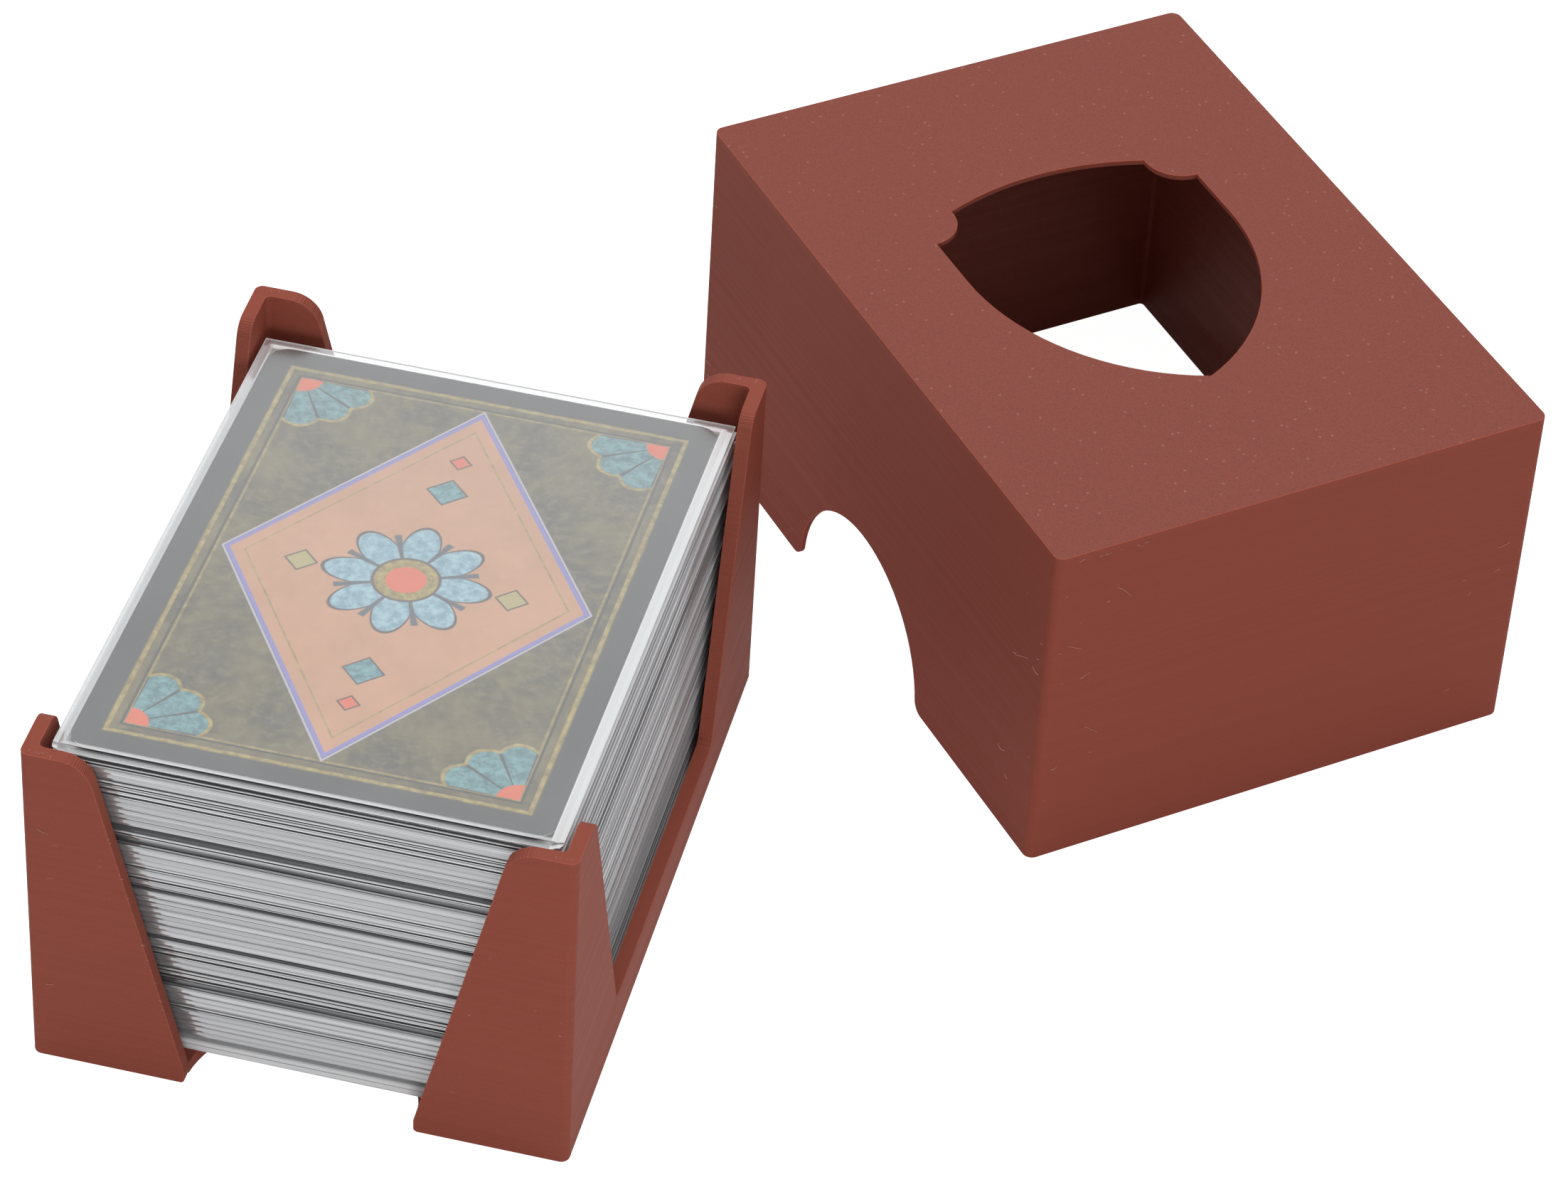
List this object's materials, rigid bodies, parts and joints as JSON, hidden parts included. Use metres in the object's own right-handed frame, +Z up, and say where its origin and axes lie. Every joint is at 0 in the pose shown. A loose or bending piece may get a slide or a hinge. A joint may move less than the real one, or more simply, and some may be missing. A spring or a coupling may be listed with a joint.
{
  "type": "card storage box",
  "caption": "Open four-post card tray with a stack of sleeved cards, and a five-sided cover with a shield-shaped window standing beside it.",
  "frame": {"origin": "centre of the underside of the tray's base plate", "axes": "+X across the tray's short side, towards the side that the cover stands on; +Y along the tray, away from the picture's camera; +Z up"},
  "size_m": [0.1746, 0.1989, 0.0536],
  "materials": {
    "tray_print": "layered print, satin",
    "cover_print": "layered print, pebbled top",
    "sleeve_film": "clear film",
    "card_face": "coated board",
    "sleeved_card": "card edge in a clear sleeve"
  },
  "bodies": {
    "tray": {"tray": "tray_print"},
    "cover": {"cover": "cover_print"},
    "deck": {"card_01": "sleeved_card", "card_02": "sleeved_card", "card_03": "sleeved_card", "card_04": "sleeved_card", "card_05": "sleeved_card", "card_06": "sleeved_card", "card_07": "sleeved_card", "card_08": "sleeved_card", "card_09": "sleeved_card", "card_10": "sleeved_card", "card_11": "sleeved_card", "card_12": "sleeved_card", "card_13": "sleeved_card", "card_14": "sleeved_card", "card_15": "sleeved_card", "card_16": "sleeved_card", "card_17": "sleeved_card", "card_18": "sleeved_card", "card_19": "sleeved_card", "card_20": "sleeved_card", "card_21": "sleeved_card", "card_22": "sleeved_card", "card_23": "sleeved_card", "card_24": "sleeved_card", "card_25": "sleeved_card", "card_26": "sleeved_card", "card_27": "sleeved_card", "card_28": "sleeved_card", "card_29": "sleeved_card", "card_30": "sleeved_card", "card_31": "sleeved_card", "card_32": "sleeved_card", "card_33": "sleeved_card", "card_34": "sleeved_card", "card_35": "sleeved_card", "card_36": "sleeved_card", "card_37": "sleeved_card", "card_38": "sleeved_card", "card_39": "sleeved_card", "card_40": "sleeved_card", "card_41": "sleeved_card", "card_42": "sleeved_card", "card_43": "sleeved_card", "card_44": "sleeved_card", "card_45": "sleeved_card", "card_46": "sleeved_card", "card_47": "sleeved_card", "card_48": "sleeved_card", "card_49": "sleeved_card", "card_50": "sleeved_card", "card_51": "sleeved_card", "card_52": "sleeved_card", "card_53": "sleeved_card"},
    "top": {"top_sleeve": "sleeve_film", "top_card": "card_face"}
  },
  "joints": [
    {"name": "cover_lift", "type": "slide", "parent": "tray", "child": "cover", "axis": [0, 0, 1], "range_m": [0, 0.06]},
    {"name": "deck_lift", "type": "slide", "parent": "tray", "child": "deck", "axis": [0, 0, 1], "range_m": [0, 0.055]},
    {"name": "top_card_lift", "type": "slide", "parent": "deck", "child": "top", "axis": [0, 0, 1], "range_m": [0, 0.03]}
  ]
}
